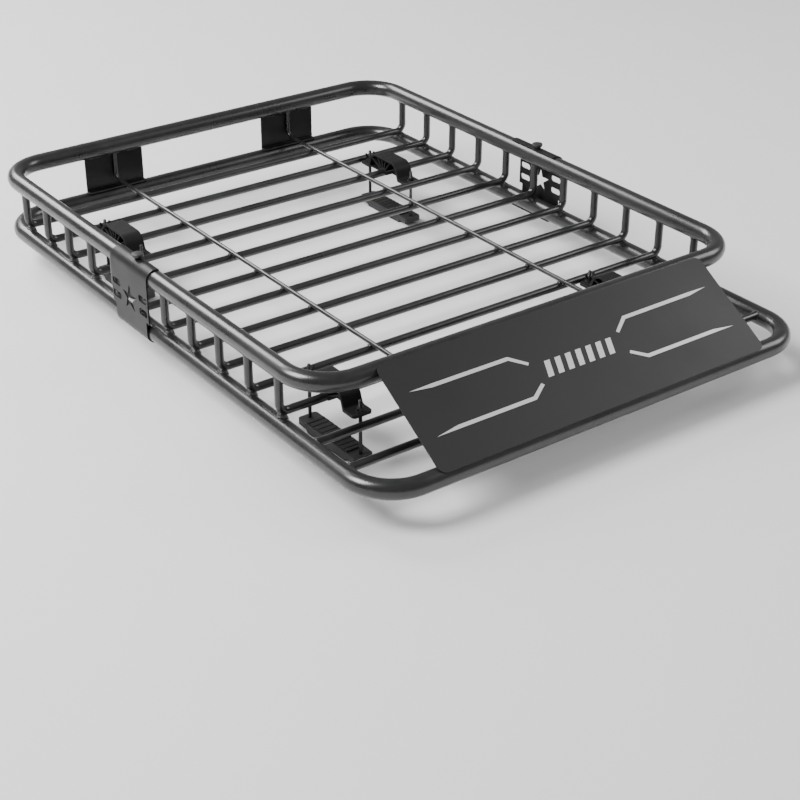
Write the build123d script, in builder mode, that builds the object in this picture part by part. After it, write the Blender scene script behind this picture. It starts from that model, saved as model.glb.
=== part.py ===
from build123d import *
import os
from math import atan2, cos, degrees, hypot, pi, sin, sqrt

# A roof cargo basket in two bolted halves: an upper and a lower loop of round steel tube, a floor
# of bent bars, a sloping front fairing, and four clamps that grip a vehicle's crossbars.
# Millimetres. X is across, the front is towards -Y, +Z is up, and Z = 0 is the underside of the
# four clamp jaws. The origin is at the middle of the footprint.

os.makedirs("parts", exist_ok=True)

# Driving dimensions of the two loops
RAIL_R = 31.75 / 2
RAIL_WALL = 1.2
RAIL_BEND = 76.0
HALF_WIDTH = 434.0
HALF_LENGTH = 611.0
TOP_FRONT_Y = -447.0
LOW_REAR_Y = 608.0
FLOOR_Z = 90.0
TOP_Z = FLOOR_Z + 77.8
LOW_Z = FLOOR_Z - 23.2

# Where the two halves meet: the front tubes end in spigots that slide into the rear tubes
SEAM_Y = 24.0
SEAM_GAP = 0.2
SPIGOT_R = 14.6
SPIGOT_WALL = 1.2
SPIGOT_REACH = 90.0
SHOULDER = 8.0
JOINT_Y = 82.0
KNOB_Y = JOINT_Y - 5.0
BOLT_R = 3.0
BOLT_CLEARANCE_R = 3.35
BOLT_FIT_R = 3.05
WELD_NUT_R = 5.5
WELD_NUT_HEIGHT = 7.0
WELD_NUT_TOP = 13.4

# Floor bars
BAR_R = 7.0
BAR_WALL = 1.2
BAR_BEND = 16.0
BAR_COUNT = 11
BAR_PITCH = 86.8
FIRST_BAR_Y = 516.0
WELD_R = 5.0

# Lengthwise rods and the bars under the nose
ROD_R = 4.0
ROD_X = 202.0
ROD_BEND = 16.0
ROD_END_INSET = 5.5
NOSE_BAR_YS = (-434.0, -521.0)
NOSE_BAR_Z = FLOOR_Z - 18.0

# Sheet pieces
SHEET = 2.5
SIDE_PLATE_HALF = 62.0
SIDE_PLATE_FOOT_HALF = 53.0
LIP_ANGLE = 116.0
HOOK_ANGLE = 125.0
STAR_R = 25.5
STAR_RATIO = 0.382
STAR_Z = FLOOR_Z + 25.0
SLOT_Z = FLOOR_Z + 27.5
SLOT_LENGTH = 27.0
SLOT_HEIGHT = 12.0
SLOT_SPACING = (90.0, 24.0)
REAR_PLATE_WIDTH = 125.0
REAR_PLATE_SHEET = 3.0
REAR_FLANGE = 15.0

# Fairing
FAIRING_SHEET = 2.0
FAIRING_WIDTH = 666.0
FAIRING_TOP_EDGE = 1.0
FAIRING_LOW_EDGE = 197.0
FAIRING_CORNER = 14.0
FILM = 0.3
BRACKET_X = 240.0
BRACKET_WIDTH = 20.0
BRACKET_SHEET = 2.0
BRACKET_TAB = 22.0
BRACKET_LEG = 20.0
PANEL_STUD_R = 2.5
BRACKET_HOLE_R = PANEL_STUD_R + 0.25
PANEL_NUT_BORE_R = PANEL_STUD_R + 0.05
PANEL_STUD_LENGTH = 8.0
PANEL_STUD_OFFSET = RAIL_R + 12.0

# Clamps: x of the middle, y of the floor bar that each saddle sits on
CLAMPS = {
    "rear_left": (-328.0, FIRST_BAR_Y - 2 * BAR_PITCH),
    "rear_right": (276.0, FIRST_BAR_Y - 2 * BAR_PITCH),
    "front_left": (-334.0, FIRST_BAR_Y - 10 * BAR_PITCH),
    "front_right": (254.0, FIRST_BAR_Y - 10 * BAR_PITCH),
}
CLAMP_WIDTH = 36.0
STUD_SPACING = 140.0
STUD_R = 3.0
SADDLE_HOLE_R = STUD_R + 0.5
JAW_HOLE_R = STUD_R + 0.2
WASHER_HOLE_R = STUD_R + 0.4
STUD_TOP = FLOOR_Z + 21.0
FOOT_TOP = FLOOR_Z + 1.0
FOOT_BOTTOM = FLOOR_Z - 4.0
FOOT_REACH = 78.0
CROWN_TOP = FLOOR_Z + 30.0
SADDLE_SKIN = 3.5
RIB = 2.5
WASHER_R = 7.5
WASHER_THICKNESS = 1.6
NUT_GAP = 0.3
NUT_BORE_R = 3.05
NUT_ACROSS = 10.0
NUT_HEIGHT = 5.0
WING_THICKNESS = 2.2
JAW_TOP = 16.0
JAW_END = 6.0
WALL = 3.0
POCKET_EDGE = 5.0
PAD_THICKNESS = 3.0
PAD_LENGTH = 110.0
BOLT_HEAD = 4.0
BOLT_CHAMFER = 0.6
CORNER_R = 6.0

RAIL_XS = (-HALF_WIDTH, HALF_WIDTH)
BAR_YS = [FIRST_BAR_Y - i * BAR_PITCH for i in range(BAR_COUNT)]

# The fairing lies on the two front tubes, so its slope is that of the line between their centres
SLOPE = atan2(TOP_Z - LOW_Z, HALF_LENGTH + TOP_FRONT_Y)
UPHILL = Vector(0, cos(SLOPE), sin(SLOPE))
OUTWARD = Vector(0, -sin(SLOPE), cos(SLOPE))
TUBE_DISTANCE = hypot(TOP_Z - LOW_Z, HALF_LENGTH + TOP_FRONT_Y)
TOP_FRONT_TUBE = Vector(0, TOP_FRONT_Y, TOP_Z)
LOW_FRONT_TUBE = Vector(0, -HALF_LENGTH, LOW_Z)


def fairing_plane(height):
    """The fairing's plane, raised by a height from its underside; local +Y runs uphill."""
    return Plane(origin=TOP_FRONT_TUBE + OUTWARD * (RAIL_R + height), x_dir=(1, 0, 0), z_dir=OUTWARD)


def save(piece, name):
    """Label a finished sub-part and write it to its own STEP file."""
    piece.part.label = name
    export_step(piece.part, f"parts/{name}.step")


def tube_section(radius, wall):
    """A ring, drawn in the sketch that is open."""
    Circle(radius)
    Circle(radius - wall, mode=Mode.SUBTRACT)


def cut_rail_along_y(y, z, length):
    """Cut the two side tubes of a loop out of the open part, so that its ends fit round them."""
    with Locations(*[Location((x, y, z), (90, 0, 0)) for x in RAIL_XS]):
        Cylinder(RAIL_R, length, mode=Mode.SUBTRACT)


def cut_rail_along_x(x, y, z, length):
    """Cut an end tube of a loop out of the open part."""
    with Locations(Location((x, y, z), (0, 90, 0))):
        Cylinder(RAIL_R, length, mode=Mode.SUBTRACT)


def rail_half(end_y, seam_y, z, is_front, up):
    """One U of a loop. A front half ends in spigots, each with a weld nut inside for its bolt."""
    facing = 1 if up else -1
    with BuildPart() as half:
        with BuildLine() as route:
            FilletPolyline(
                (-HALF_WIDTH, seam_y, z),
                (-HALF_WIDTH, end_y, z),
                (HALF_WIDTH, end_y, z),
                (HALF_WIDTH, seam_y, z),
                radius=RAIL_BEND,
            )
        with BuildSketch(Plane(origin=route.line @ 0, z_dir=route.line % 0)):
            tube_section(RAIL_R, RAIL_WALL)
        sweep(path=route.line)
        for x in RAIL_XS:
            if is_front:
                with BuildSketch(Plane(origin=(x, seam_y - SHOULDER, z), z_dir=(0, 1, 0))):
                    tube_section(RAIL_R - RAIL_WALL / 2, RAIL_WALL / 2 + RAIL_R - SPIGOT_R)
                extrude(amount=SHOULDER)
                with BuildSketch(Plane(origin=(x, seam_y - SHOULDER, z), z_dir=(0, 1, 0))):
                    tube_section(SPIGOT_R, SPIGOT_WALL)
                extrude(amount=SPIGOT_REACH + SHOULDER)
                nut_top = z + facing * WELD_NUT_TOP
                with BuildSketch(Plane(origin=(x, KNOB_Y, nut_top), z_dir=(0, 0, -facing))):
                    Circle(WELD_NUT_R)
                extrude(amount=WELD_NUT_HEIGHT)
            hole_r = BOLT_FIT_R if is_front else BOLT_CLEARANCE_R
            with BuildSketch(Plane(origin=(x, KNOB_Y, z), z_dir=(0, 0, facing))):
                Circle(hole_r)
            extrude(amount=RAIL_R + RAIL_WALL, mode=Mode.SUBTRACT)
    return half


def floor_bar(y):
    """A U of thin tube: its ends are coped to the top tubes and its bends welded to the lower ones."""
    with BuildPart() as bar:
        with BuildLine() as route:
            FilletPolyline(
                (-HALF_WIDTH, y, TOP_Z),
                (-HALF_WIDTH, y, FLOOR_Z),
                (HALF_WIDTH, y, FLOOR_Z),
                (HALF_WIDTH, y, TOP_Z),
                radius=BAR_BEND,
            )
        with BuildSketch(Plane(origin=route.line @ 0, z_dir=route.line % 0)):
            tube_section(BAR_R, BAR_WALL)
        sweep(path=route.line)
        for side in (-1, 1):
            bend_centre = Vector(side * (HALF_WIDTH - BAR_BEND), y, FLOOR_Z + BAR_BEND)
            to_rail = Vector(side * HALF_WIDTH, y, LOW_Z) - bend_centre
            weld_start = bend_centre + to_rail.normalized() * (BAR_BEND + BAR_R - BAR_WALL)
            with BuildSketch(Plane(origin=weld_start, z_dir=to_rail)):
                Circle(WELD_R)
            extrude(amount=to_rail.length - BAR_BEND - BAR_R - RAIL_R / 2)
        cut_rail_along_y(y, TOP_Z, 4 * BAR_R)
        cut_rail_along_y(y, LOW_Z, 4 * BAR_R)
    return bar


def nose_bar(y):
    """A straight tube across the lower loop, ahead of the floor."""
    with BuildPart() as bar:
        with BuildSketch(Plane(origin=(-HALF_WIDTH, y, NOSE_BAR_Z), z_dir=(1, 0, 0))):
            tube_section(BAR_R, BAR_WALL)
        extrude(amount=2 * HALF_WIDTH)
        cut_rail_along_y(y, LOW_Z, 4 * BAR_R)
    return bar


def long_rod(x, seam_y, rail_y, end_y):
    """A rod that lies on the floor bars and turns up to the underside of a top tube."""
    rod_z = FLOOR_Z + BAR_R + ROD_R
    with BuildPart() as rod:
        with BuildLine() as route:
            FilletPolyline((x, seam_y, rod_z), (x, end_y, rod_z), (x, end_y, TOP_Z), radius=ROD_BEND)
        with BuildSketch(Plane(origin=route.line @ 0, z_dir=route.line % 0)):
            Circle(ROD_R)
        sweep(path=route.line)
        cut_rail_along_x(x, rail_y, TOP_Z, 4 * ROD_R)
    return rod


def rear_plate(x):
    """A sheet between the two rear tubes, with a flange folded forward along its foot."""
    front = HALF_LENGTH - REAR_PLATE_SHEET / 2
    back = HALF_LENGTH + REAR_PLATE_SHEET / 2
    foot = LOW_Z + RAIL_R
    with BuildPart() as plate:
        with BuildSketch(Plane.YZ.offset(x)):
            with BuildLine():
                Polyline(
                    (front, TOP_Z),
                    (front, foot + REAR_PLATE_SHEET),
                    (back - REAR_FLANGE, foot + REAR_PLATE_SHEET),
                    (back - REAR_FLANGE, foot),
                    (back, foot - REAR_PLATE_SHEET),
                    (back, TOP_Z),
                    close=True,
                )
            make_face()
        extrude(amount=REAR_PLATE_WIDTH / 2, both=True)
        cut_rail_along_x(x, HALF_LENGTH, TOP_Z, 2 * REAR_PLATE_WIDTH)
        cut_rail_along_x(x, LOW_REAR_Y, LOW_Z, 2 * REAR_PLATE_WIDTH)
    return plate


def star_outline():
    """The ten points of an upright five-pointed star."""
    points = []
    for i in range(10):
        radius = STAR_R if i % 2 == 0 else STAR_R * STAR_RATIO
        angle = pi / 2 + i * pi / 5
        points.append((JOINT_Y + radius * cos(angle), STAR_Z + radius * sin(angle)))
    return points


def side_plate(side):
    """A sheet that wraps over the top tube and hooks under the lower one, across the seam."""
    outer_r = RAIL_R + SHEET
    with BuildPart() as plate:
        with BuildSketch(Plane(origin=(0, JOINT_Y, 0), x_dir=(1, 0, 0), z_dir=(0, -1, 0))):
            with BuildLine():
                lip = CenterArc((HALF_WIDTH, TOP_Z), RAIL_R, LIP_ANGLE, -LIP_ANGLE)
                hook = CenterArc((HALF_WIDTH, LOW_Z), RAIL_R, 0, -HOOK_ANGLE)
                outer_hook = CenterArc((HALF_WIDTH, LOW_Z), outer_r, -HOOK_ANGLE, HOOK_ANGLE)
                outer_lip = CenterArc((HALF_WIDTH, TOP_Z), outer_r, 0, LIP_ANGLE)
                Line(lip @ 1, hook @ 0)
                Line(hook @ 1, outer_hook @ 0)
                Line(outer_hook @ 1, outer_lip @ 0)
                Line(outer_lip @ 1, lip @ 0)
            make_face()
        extrude(amount=SIDE_PLATE_HALF, both=True)
        notch = SIDE_PLATE_HALF - SIDE_PLATE_FOOT_HALF
        for end in (-1, 1):
            with Locations((HALF_WIDTH, JOINT_Y + end * (SIDE_PLATE_HALF - notch / 2), FLOOR_Z)):
                below = (Align.CENTER, Align.CENTER, Align.MAX)
                Box(4 * RAIL_R, notch, FLOOR_Z, align=below, mode=Mode.SUBTRACT)
        with BuildSketch(Plane.YZ.offset(HALF_WIDTH)):
            Polygon(*star_outline(), align=None)
            with Locations((JOINT_Y, SLOT_Z)):
                with GridLocations(*SLOT_SPACING, 2, 2):
                    RectangleRounded(SLOT_LENGTH, SLOT_HEIGHT, SLOT_HEIGHT / 2.4)
        extrude(amount=2 * RAIL_R, mode=Mode.SUBTRACT)
        with BuildSketch(Plane.XY.offset(TOP_Z)):
            with Locations((HALF_WIDTH, KNOB_Y)):
                Circle(BOLT_CLEARANCE_R)
        extrude(amount=2 * RAIL_R, mode=Mode.SUBTRACT)
        with BuildSketch(Plane.XY.offset(LOW_Z)):
            with Locations((HALF_WIDTH, KNOB_Y)):
                Circle(BOLT_CLEARANCE_R)
        extrude(amount=-2 * RAIL_R, mode=Mode.SUBTRACT)
        if side < 0:
            mirror(about=Plane.YZ, mode=Mode.REPLACE)
    return plate


def knob_bolt(x):
    """A round-headed thumb screw that goes down through the plate into the weld nut."""
    base = TOP_Z + RAIL_R + SHEET + NUT_GAP
    tip = TOP_Z + WELD_NUT_TOP - WELD_NUT_HEIGHT
    brim = 10.0
    edge_height = 8.2
    crown_height = 9.4
    crown_r = (brim**2 + (crown_height - edge_height) ** 2) / (2 * (crown_height - edge_height))
    dome_middle = (brim / 2, crown_height - crown_r + sqrt(crown_r**2 - brim**2 / 4))
    with BuildPart() as bolt:
        with BuildSketch(Plane(origin=(x, KNOB_Y, base), x_dir=(1, 0, 0), z_dir=(0, -1, 0))):
            with BuildLine():
                skirt = Line((6.0, 0.0), (brim, 4.0))
                wall = Line(skirt @ 1, (brim, edge_height))
                dome = ThreePointArc(wall @ 1, dome_middle, (0.0, crown_height))
                Polyline(dome @ 1, (0.0, tip - base), (BOLT_R, tip - base), (BOLT_R, 0.0), skirt @ 0)
            make_face()
        revolve(axis=Axis((x, KNOB_Y, 0), (0, 0, 1)))
    return bolt


def lower_joint_bolts():
    """Two hex bolts, each up through a plate's hook into the weld nut of a lower spigot."""
    seat = LOW_Z - RAIL_R - SHEET
    with BuildPart() as bolts:
        with BuildSketch(Plane.XY.offset(seat)):
            with Locations(*[(x, KNOB_Y) for x in RAIL_XS]):
                RegularPolygon(NUT_ACROSS / 2, 6, major_radius=False)
        extrude(amount=-BOLT_HEAD)
        with BuildSketch(Plane.XY.offset(seat)):
            with Locations(*[(x, KNOB_Y) for x in RAIL_XS]):
                Circle(BOLT_R)
        extrude(amount=RAIL_R + SHEET - WELD_NUT_TOP + WELD_NUT_HEIGHT)
    return bolts


def fairing_panel():
    """A flat sheet that lies on both front tubes, with four weld studs behind it."""
    depth = FAIRING_LOW_EDGE - FAIRING_TOP_EDGE
    middle = -(FAIRING_LOW_EDGE + FAIRING_TOP_EDGE) / 2
    with BuildPart() as panel:
        with BuildSketch(fairing_plane(0)):
            with Locations((0, middle)):
                RectangleRounded(FAIRING_WIDTH, depth, FAIRING_CORNER)
        extrude(amount=FAIRING_SHEET)
        with BuildSketch(fairing_plane(0)):
            with Locations(*stud_places()):
                Circle(PANEL_STUD_R)
        extrude(amount=-PANEL_STUD_LENGTH)
    return panel


def stud_places():
    """Where the four studs stand in the fairing's plane: a pair by each front tube."""
    upper = -PANEL_STUD_OFFSET
    lower = PANEL_STUD_OFFSET - TUBE_DISTANCE
    return [(x, v) for x in (-BRACKET_X, BRACKET_X) for v in (upper, lower)]


def fairing_brackets(tube_centre, tab_direction):
    """A pair of angle brackets: a leg on a front tube, and a tab that a weld stud goes through."""
    with BuildPart() as brackets:
        for x in (-BRACKET_X, BRACKET_X):
            centre = tube_centre + Vector(x, 0, 0)
            with BuildSketch(Plane(origin=centre, x_dir=tab_direction, z_dir=tab_direction.cross(OUTWARD))):
                with Locations((RAIL_R, RAIL_R)):
                    Rectangle(BRACKET_SHEET, BRACKET_LEG, align=(Align.MIN, Align.MAX))
                    Rectangle(BRACKET_TAB, BRACKET_SHEET, align=(Align.MIN, Align.MAX))
            extrude(amount=BRACKET_WIDTH / 2, both=True)
            hole = centre + tab_direction * PANEL_STUD_OFFSET + OUTWARD * RAIL_R
            with BuildSketch(Plane(origin=hole, z_dir=OUTWARD)):
                Circle(BRACKET_HOLE_R)
            extrude(amount=-2 * BRACKET_SHEET, mode=Mode.SUBTRACT)
    return brackets


def fairing_nuts():
    """Four hex nuts on the fairing's studs, behind the brackets' tabs."""
    nut_height = 4.0
    nut_across = 8.0
    with BuildPart() as nuts:
        with BuildSketch(fairing_plane(-BRACKET_SHEET)):
            with Locations(*stud_places()):
                RegularPolygon(nut_across / 2, 6, major_radius=False)
                Circle(PANEL_NUT_BORE_R, mode=Mode.SUBTRACT)
        extrude(amount=-nut_height)
    return nuts


def fairing_graphics():
    """Thin film on the fairing: two pairs of tapered lines and a row of slanted bars."""
    upper_line = (
        (305, -58.0), (265, -57.0), (119, -57.7), (90, -79.0), (94, -83.0), (121, -64.2), (265, -63.5),
    )
    lower_line = (
        (306, -140.0), (263, -133.7), (118, -133.7), (92, -117.5), (88, -122.0), (116, -140.2), (263, -140.2),
    )
    bar_count = 7
    bar_height = 28.0
    bar_width = 11.0
    bar_slant = 9.0
    bar_pitch = 21.0
    with BuildPart() as graphics:
        with BuildSketch(fairing_plane(FAIRING_SHEET)):
            for outline in (upper_line, lower_line):
                for side in (-1, 1):
                    Polygon(*[(side * x, v) for x, v in outline], align=None)
            middle = -(FAIRING_LOW_EDGE + FAIRING_TOP_EDGE) / 2
            for i in range(bar_count):
                left = (i - (bar_count - 1) / 2) * bar_pitch - (bar_width + bar_slant) / 2
                Polygon(
                    (left, middle - bar_height / 2),
                    (left + bar_width, middle - bar_height / 2),
                    (left + bar_width + bar_slant, middle + bar_height / 2),
                    (left + bar_slant, middle + bar_height / 2),
                    align=None,
                )
        extrude(amount=FILM)
    return graphics


def saddle(x, y):
    """An arched clamp top: a skin, a web, ribs that fan from the bar seat, and two drilled feet."""
    half_foot = 52.0
    half_crown = 41.0
    foot_bend = 5.0
    crown_bend = 22.0
    feet = Plane(origin=(x, y, 0), x_dir=(0, 1, 0), z_dir=(1, 0, 0))
    with BuildSketch() as hollow:
        with BuildLine():
            arch = FilletPolyline(
                (half_foot - SADDLE_SKIN, FOOT_BOTTOM),
                (half_crown - SADDLE_SKIN, CROWN_TOP - SADDLE_SKIN),
                (SADDLE_SKIN - half_crown, CROWN_TOP - SADDLE_SKIN),
                (SADDLE_SKIN - half_foot, FOOT_BOTTOM),
                radius=crown_bend - SADDLE_SKIN,
            )
            Line(arch @ 1, arch @ 0)
        make_face()
    with BuildSketch() as seat_cut:
        with Locations((0, FLOOR_Z)):
            Circle(BAR_R)
            Rectangle(2 * BAR_R, 4 * BAR_R, align=(Align.CENTER, Align.MAX))
    with BuildSketch() as ribs:
        with Locations((0, FLOOR_Z)):
            Circle(BAR_R + RIB)
            with PolarLocations(0, 7, start_angle=0, angular_range=180):
                Rectangle(2 * half_foot, RIB, align=(Align.MIN, Align.CENTER))
        add(hollow.sketch, mode=Mode.INTERSECT)
        add(seat_cut.sketch, mode=Mode.SUBTRACT)
    with BuildPart() as top:
        with BuildSketch(feet):
            with BuildLine():
                outline = FilletPolyline(
                    (FOOT_REACH, FOOT_TOP),
                    (half_foot, FOOT_TOP),
                    (half_crown, CROWN_TOP),
                    (-half_crown, CROWN_TOP),
                    (-half_foot, FOOT_TOP),
                    (-FOOT_REACH, FOOT_TOP),
                    radius=(foot_bend, crown_bend, crown_bend, foot_bend),
                )
                Polyline(outline @ 1, (-FOOT_REACH, FOOT_BOTTOM), (FOOT_REACH, FOOT_BOTTOM), outline @ 0)
            make_face()
            add(hollow.sketch, mode=Mode.SUBTRACT)
        extrude(amount=CLAMP_WIDTH / 2, both=True)
        with BuildSketch(feet):
            add(ribs.sketch)
        extrude(amount=CLAMP_WIDTH / 2 - RIB / 2, both=True)
        with BuildSketch(feet):
            add(hollow.sketch)
            add(seat_cut.sketch, mode=Mode.SUBTRACT)
        extrude(amount=RIB / 2, both=True)
        with Locations((x, y, FOOT_TOP)):
            with GridLocations(0, STUD_SPACING, 1, 2):
                Hole(SADDLE_HOLE_R)
        corners = top.edges().filter_by(Axis.Z).group_by(Axis.Y)
        fillet(corners[0] + corners[-1], radius=CORNER_R)
    return top


def lower_jaw(x, y):
    """A stiff bar under the crossbar, drilled for the two clamp bolts and hollowed from below."""
    half_length = 80.0
    half_block = 56.0
    pocket_length = 20.0
    pocket_pitch = 24.0
    pocket_corner = 2.0
    pocket_rows = 4
    with BuildPart() as jaw:
        with BuildSketch(Plane(origin=(x, y, 0), x_dir=(0, 1, 0), z_dir=(1, 0, 0))):
            with BuildLine():
                Polyline(
                    (half_length, JAW_TOP),
                    (half_length, JAW_END),
                    (half_block, JAW_END),
                    (half_block - JAW_END, 0),
                    (JAW_END - half_block, 0),
                    (-half_block, JAW_END),
                    (-half_length, JAW_END),
                    (-half_length, JAW_TOP),
                    close=True,
                )
            make_face()
        extrude(amount=CLAMP_WIDTH / 2, both=True)
        with BuildSketch(Plane.XY):
            with Locations((x, y)):
                with GridLocations((CLAMP_WIDTH - WALL) / 2, pocket_pitch, 2, pocket_rows):
                    RectangleRounded(CLAMP_WIDTH / 2 - POCKET_EDGE, pocket_length, pocket_corner)
        extrude(amount=JAW_TOP - 2 * RIB, mode=Mode.SUBTRACT)
        with Locations((x, y, JAW_TOP)):
            with GridLocations(0, STUD_SPACING, 1, 2):
                Hole(JAW_HOLE_R)
        corners = jaw.edges().filter_by(Axis.Z).group_by(Axis.Y)
        fillet(corners[0] + corners[-1], radius=CORNER_R)
    return jaw


def jaw_pad(x, y):
    """A rubber strip with cross grooves, between the jaw and the crossbar."""
    pad_width = CLAMP_WIDTH - 4.0
    groove_count = 9
    groove_pitch = 12.0
    groove_width = 3.0
    groove_depth = 1.2
    upward = (Align.CENTER, Align.CENTER, Align.MIN)
    downward = (Align.CENTER, Align.CENTER, Align.MAX)
    with BuildPart() as pad:
        with Locations((x, y, JAW_TOP)):
            Box(pad_width, PAD_LENGTH, PAD_THICKNESS, align=upward)
        with Locations((x, y, JAW_TOP + PAD_THICKNESS)):
            with GridLocations(0, groove_pitch, 1, groove_count):
                Box(CLAMP_WIDTH, groove_width, groove_depth, align=downward, mode=Mode.SUBTRACT)
    return pad


def clamp_bolts(x, y):
    """Two hex bolts that stand up from the jaw, one on each side of the crossbar."""
    with BuildPart() as bolts:
        with BuildSketch(Plane.XY.offset(JAW_END)):
            with Locations((x, y)):
                with GridLocations(0, STUD_SPACING, 1, 2):
                    RegularPolygon(NUT_ACROSS / 2, 6, major_radius=False)
        extrude(amount=-BOLT_HEAD)
        with BuildSketch(Plane.XY.offset(JAW_END)):
            with Locations((x, y)):
                with GridLocations(0, STUD_SPACING, 1, 2):
                    Circle(STUD_R)
        extrude(amount=STUD_TOP - JAW_END)
        chamfer(bolts.faces().group_by(Axis.Z)[-1].edges(), length=BOLT_CHAMFER)
    return bolts


def stud_washers():
    """Eight flat washers, one on each foot of the four saddles."""
    with BuildPart() as washers:
        for x, y in CLAMPS.values():
            with BuildSketch(Plane.XY.offset(FOOT_TOP)):
                with Locations((x, y)):
                    with GridLocations(0, STUD_SPACING, 1, 2):
                        Circle(WASHER_R)
                        Circle(WASHER_HOLE_R, mode=Mode.SUBTRACT)
            extrude(amount=WASHER_THICKNESS)
    return washers


def wing_nut(x, y):
    """A hub with two upswept wings, on the bolt behind the saddle."""
    base = FOOT_TOP + WASHER_THICKNESS + NUT_GAP
    stud_y = y + STUD_SPACING / 2
    hub_r = 5.6
    hub_top_r = 4.6
    hub_rim = 1.2
    hub_height = 7.2
    wing_rounding = 1.2
    with BuildPart() as nut:
        with BuildSketch(Plane(origin=(x, stud_y, base), x_dir=(1, 0, 0), z_dir=(0, -1, 0))):
            with BuildLine():
                foot = ((0, 0), (hub_r, 0), (hub_r, hub_rim))
                Polyline(*foot, (hub_top_r, hub_height), (0, hub_height), close=True)
            make_face()
        revolve(axis=Axis((x, stud_y, 0), (0, 0, 1)))
        with BuildSketch(Plane(origin=(x, stud_y, base), x_dir=(1, 0, 0), z_dir=(0, -1, 0))):
            with BuildLine():
                lower_edge = ((3.3, 1.2), (6.2, 3.6), (10.2, 8.6), (11.2, 14.0))
                upper_edge = ((8.2, 15.0), (6.0, 9.4), (3.3, 6.6))
                Polyline(*lower_edge, *upper_edge, close=True)
            make_face()
            fillet(vertices().sort_by(Axis.Y)[-4:], radius=wing_rounding)
            mirror(about=Plane.YZ)
        extrude(amount=WING_THICKNESS / 2, both=True)
        with Locations((x, stud_y, base)):
            Hole(NUT_BORE_R)
    return nut


def hex_nut(x, y):
    """A plain hex nut on the bolt ahead of the saddle."""
    base = FOOT_TOP + WASHER_THICKNESS + NUT_GAP
    with BuildPart() as nut:
        with BuildSketch(Plane.XY.offset(base)):
            with Locations((x, y - STUD_SPACING / 2)):
                RegularPolygon(NUT_ACROSS / 2, 6, major_radius=False)
                Circle(NUT_BORE_R, mode=Mode.SUBTRACT)
        extrude(amount=NUT_HEIGHT)
    return nut


rear_seam = SEAM_Y + SEAM_GAP / 2
front_seam = SEAM_Y - SEAM_GAP / 2
save(rail_half(HALF_LENGTH, rear_seam, TOP_Z, False, True), "top_rail_rear")
save(rail_half(TOP_FRONT_Y, front_seam, TOP_Z, True, True), "top_rail_front")
save(rail_half(LOW_REAR_Y, rear_seam, LOW_Z, False, False), "lower_rail_rear")
save(rail_half(-HALF_LENGTH, front_seam, LOW_Z, True, False), "lower_rail_front")

for number, bar_y in enumerate(BAR_YS, start=1):
    save(floor_bar(bar_y), f"floor_bar_{number:02d}")
for number, bar_y in enumerate(NOSE_BAR_YS, start=1):
    save(nose_bar(bar_y), f"nose_cross_bar_{number}")

for side_name, side in (("left", -1), ("right", 1)):
    rear_end = HALF_LENGTH - ROD_END_INSET
    front_end = TOP_FRONT_Y + ROD_END_INSET
    save(long_rod(side * ROD_X, rear_seam, HALF_LENGTH, rear_end), f"long_rod_rear_{side_name}")
    save(long_rod(side * ROD_X, front_seam, TOP_FRONT_Y, front_end), f"long_rod_front_{side_name}")
    save(rear_plate(side * ROD_X), f"rear_plate_{side_name}")
    save(side_plate(side), f"side_plate_{side_name}")
    save(knob_bolt(side * HALF_WIDTH), f"knob_bolt_{side_name}")

save(lower_joint_bolts(), "lower_joint_bolts")
save(fairing_panel(), "fairing_panel")
save(fairing_graphics(), "fairing_graphics")
save(fairing_brackets(TOP_FRONT_TUBE, UPHILL * -1), "fairing_brackets_upper")
save(fairing_brackets(LOW_FRONT_TUBE, UPHILL), "fairing_brackets_lower")
save(fairing_nuts(), "fairing_nuts")

for place, (clamp_x, clamp_y) in CLAMPS.items():
    save(saddle(clamp_x, clamp_y), f"{place}_saddle")
    save(lower_jaw(clamp_x, clamp_y), f"{place}_jaw")
    save(jaw_pad(clamp_x, clamp_y), f"{place}_jaw_pad")
    save(clamp_bolts(clamp_x, clamp_y), f"{place}_clamp_bolts")
    save(wing_nut(clamp_x, clamp_y), f"{place}_wing_nut")
    save(hex_nut(clamp_x, clamp_y), f"{place}_hex_nut")
save(stud_washers(), "stud_washers")

print(f"fairing slope {degrees(SLOPE):.1f} degrees")
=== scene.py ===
import math

import bmesh
import bpy
from mathutils import Matrix, Vector


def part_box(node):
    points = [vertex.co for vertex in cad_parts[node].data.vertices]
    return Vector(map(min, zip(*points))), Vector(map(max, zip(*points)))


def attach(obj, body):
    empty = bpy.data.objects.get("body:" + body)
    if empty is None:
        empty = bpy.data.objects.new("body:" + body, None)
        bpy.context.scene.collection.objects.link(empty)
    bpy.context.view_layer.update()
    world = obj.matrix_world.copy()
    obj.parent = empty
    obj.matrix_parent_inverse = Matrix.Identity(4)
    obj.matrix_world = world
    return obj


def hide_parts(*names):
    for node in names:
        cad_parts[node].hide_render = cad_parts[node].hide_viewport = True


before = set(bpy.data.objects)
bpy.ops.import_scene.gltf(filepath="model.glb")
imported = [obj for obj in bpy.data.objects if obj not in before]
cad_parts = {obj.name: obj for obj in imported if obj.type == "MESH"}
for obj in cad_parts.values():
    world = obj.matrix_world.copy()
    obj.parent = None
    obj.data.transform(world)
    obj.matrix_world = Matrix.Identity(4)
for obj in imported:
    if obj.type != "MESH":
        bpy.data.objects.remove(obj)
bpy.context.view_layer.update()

MM = 0.001
X_AXIS = Vector((1, 0, 0))
Y_AXIS = Vector((0, 1, 0))
Z_AXIS = Vector((0, 0, 1))
CLAMPS = ("rear_left", "rear_right", "front_left", "front_right")
NOSE_BARS = ("nose_cross_bar_1", "nose_cross_bar_2")

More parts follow.
